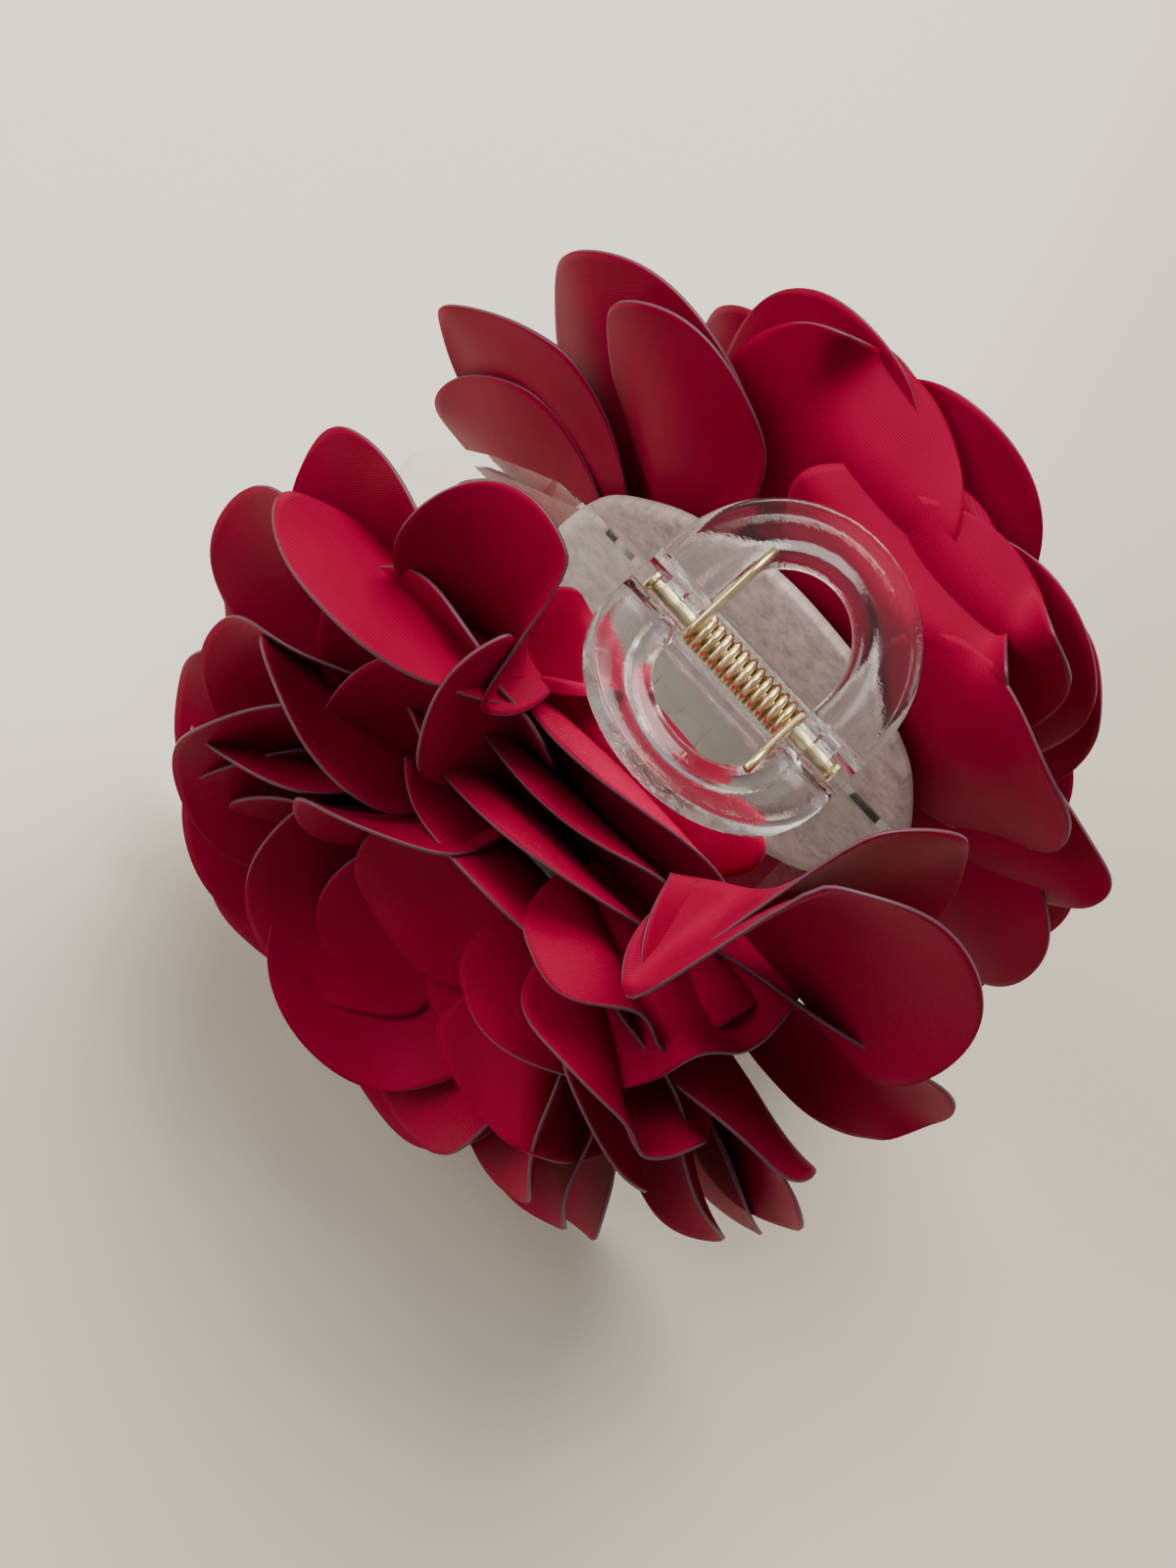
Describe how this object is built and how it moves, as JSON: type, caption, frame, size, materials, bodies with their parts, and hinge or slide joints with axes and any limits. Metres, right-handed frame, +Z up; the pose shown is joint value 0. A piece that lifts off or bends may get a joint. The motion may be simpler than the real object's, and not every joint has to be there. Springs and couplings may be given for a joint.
{
  "type": "flower hair clip",
  "caption": "Clear claw hair clip with a brass pin and torsion spring, and a large layered satin rosette glued through felt to the outside of each jaw.",
  "frame": {"origin": "bottom centre of the bounding box, where the lower petals stand", "axes": "+X along the hinge pin, +Z up towards the handles, -Y towards the front rosette"},
  "size_m": [0.1064, 0.105, 0.1049],
  "materials": {
    "clear_plastic": "clear polished acrylic",
    "brass": "bright drawn wire",
    "satin": "dark red satin with heat-cut edges",
    "felt": "grey lilac felt",
    "glue": "set hot glue"
  },
  "bodies": {
    "front_half": {"front_jaw": "clear_plastic", "front_glue_pad": "glue", "front_felt_backing": "felt", "front_petal_layer_1": "satin", "front_petal_layer_2": "satin", "front_petal_layer_3": "satin", "front_petal_layer_4": "satin", "front_petal_layer_5": "satin", "front_petal_layer_6": "satin", "front_bud": "satin", "hinge_pin": "brass", "torsion_spring": "brass"},
    "back_half": {"back_jaw": "clear_plastic", "back_glue_pad": "glue", "back_felt_backing": "felt", "back_petal_layer_1": "satin", "back_petal_layer_2": "satin", "back_petal_layer_3": "satin", "back_petal_layer_4": "satin", "back_petal_layer_5": "satin", "back_petal_layer_6": "satin", "back_bud": "satin"}
  },
  "joints": [
    {"name": "jaw_hinge", "type": "hinge", "parent": "front_half", "child": "back_half", "pos_m": [0, 0, 0.0876], "axis": [1, 0, 0], "range_deg": [0, 62], "stiffness_Nm_per_rad": 0.12, "springref_deg": -85.94, "deforming": ["torsion_spring"]}
  ]
}
